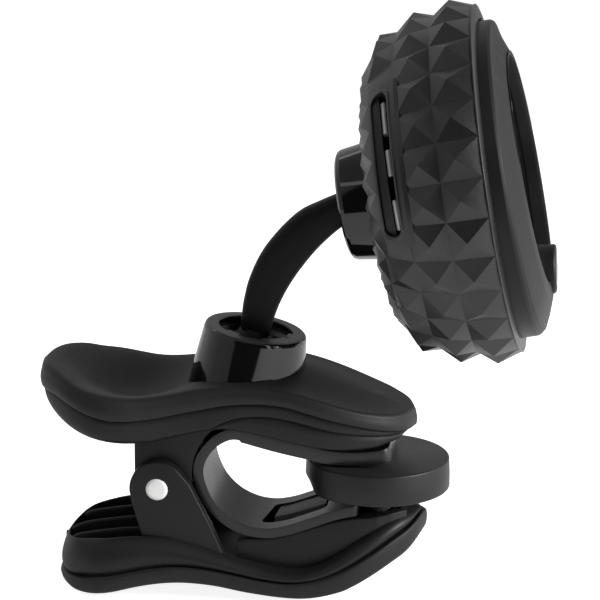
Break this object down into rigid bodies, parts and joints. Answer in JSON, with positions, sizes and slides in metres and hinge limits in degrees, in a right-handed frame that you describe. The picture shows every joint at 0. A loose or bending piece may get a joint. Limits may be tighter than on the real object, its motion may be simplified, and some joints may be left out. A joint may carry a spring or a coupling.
{
  "type": "clip on tuner",
  "caption": "Clip-on instrument tuner: a sprung two-lever clip with a swivelling jaw pad, a ball-jointed neck and a round display head in a studded rubber bumper.",
  "frame": {"origin": "centre of the jaw pad's contact ring, on its gripping plane", "axes": "+Z from the lower jaw up to the head, +X from the thumb grips to the jaw tip, +Y across the clip along the hinge pin"},
  "size_m": [0.0739, 0.051, 0.0848],
  "materials": {
    "soft_grip": "matt soft-touch",
    "lever_plastic": "fine matt texture",
    "gloss_black": "gloss",
    "neck_plastic": "satin",
    "pin_steel": "polished",
    "black_spring": "satin black",
    "pad_rubber": "matt",
    "grey_plastic": "satin",
    "bumper_rubber": "matt",
    "shell_plastic": "matt",
    "bezel_plastic": "fine matt texture",
    "smoked_lens": "smoked gloss",
    "display": "liquid crystal panel",
    "diffuser": "milky",
    "board": "solder mask",
    "switch_plastic": "satin",
    "brass_disc": "satin",
    "cell_steel": "brushed",
    "contact_metal": "nickel plated",
    "screw_steel": "zinc plated"
  },
  "bodies": {
    "lower_arm": {"lower_lever": "lever_plastic", "lower_grip_cover": "soft_grip", "hinge_pin": "pin_steel", "clip_spring": "black_spring", "lower_jaw_liner": "pad_rubber"},
    "upper_arm": {"upper_lever": "lever_plastic", "upper_grip_cover": "soft_grip", "socket_collar": "gloss_black", "friction_washer": "contact_metal", "pad_stud": "grey_plastic"},
    "pad_carrier": {"pad_hub": "grey_plastic"},
    "pad": {"jaw_pad": "pad_rubber"},
    "collar_swivel": {"lower_ball_cup": "neck_plastic"},
    "neck": {"neck_arm": "neck_plastic"},
    "head_swivel": {"upper_ball_cup": "neck_plastic"},
    "head": {"socket_cap": "gloss_black", "cup_retainer": "shell_plastic", "retainer_screws": "screw_steel", "rear_shell": "shell_plastic", "head_bumper": "bumper_rubber", "battery_door": "bumper_rubber", "front_bezel": "bezel_plastic", "display_lens": "smoked_lens", "lcd_module": "display", "light_guide": "diffuser", "circuit_board": "board", "tact_switch": "switch_plastic", "piezo_sensor": "brass_disc", "coin_cell": "cell_steel", "contact_positive": "contact_metal", "contact_negative": "contact_metal"},
    "button": {"power_button": "gloss_black"}
  },
  "joints": [
    {"name": "clip_open", "type": "hinge", "parent": "lower_arm", "child": "upper_arm", "pos_m": [-0.0304, 0, 0.0008], "axis": [0, -1, 0], "range_deg": [0, 25], "stiffness_Nm_per_rad": 0.3, "deforming": ["clip_spring"]},
    {"name": "pad_tilt", "type": "hinge", "parent": "upper_arm", "child": "pad_carrier", "pos_m": [0, 0, -0.0015], "axis": [0, 1, 0], "range_deg": [-4, 4]},
    {"name": "pad_spin", "type": "hinge", "parent": "pad_carrier", "child": "pad", "pos_m": [0, 0, 0], "axis": [0, 0, 1], "continuous": true},
    {"name": "base_swivel", "type": "hinge", "parent": "upper_arm", "child": "collar_swivel", "pos_m": [-0.01771, 0, 0.02204], "axis": [0.1564, 0, 0.9877], "continuous": true},
    {"name": "base_tilt", "type": "hinge", "parent": "collar_swivel", "child": "neck", "pos_m": [-0.01841, 0, 0.0176], "axis": [0, 1, 0], "range_deg": [-20, 15]},
    {"name": "head_tilt", "type": "hinge", "parent": "neck", "child": "head_swivel", "pos_m": [-0.00197, 0, 0.04155], "axis": [0, 1, 0], "range_deg": [-15, 15]},
    {"name": "head_spin", "type": "hinge", "parent": "head_swivel", "child": "head", "pos_m": [-0.00197, 0, 0.04155], "axis": [0.9816, 0, 0.1908], "continuous": true},
    {"name": "power_press", "type": "slide", "parent": "head", "child": "button", "axis": [-0.9816, 0, -0.1908], "range_m": [0, 0.0005]}
  ]
}
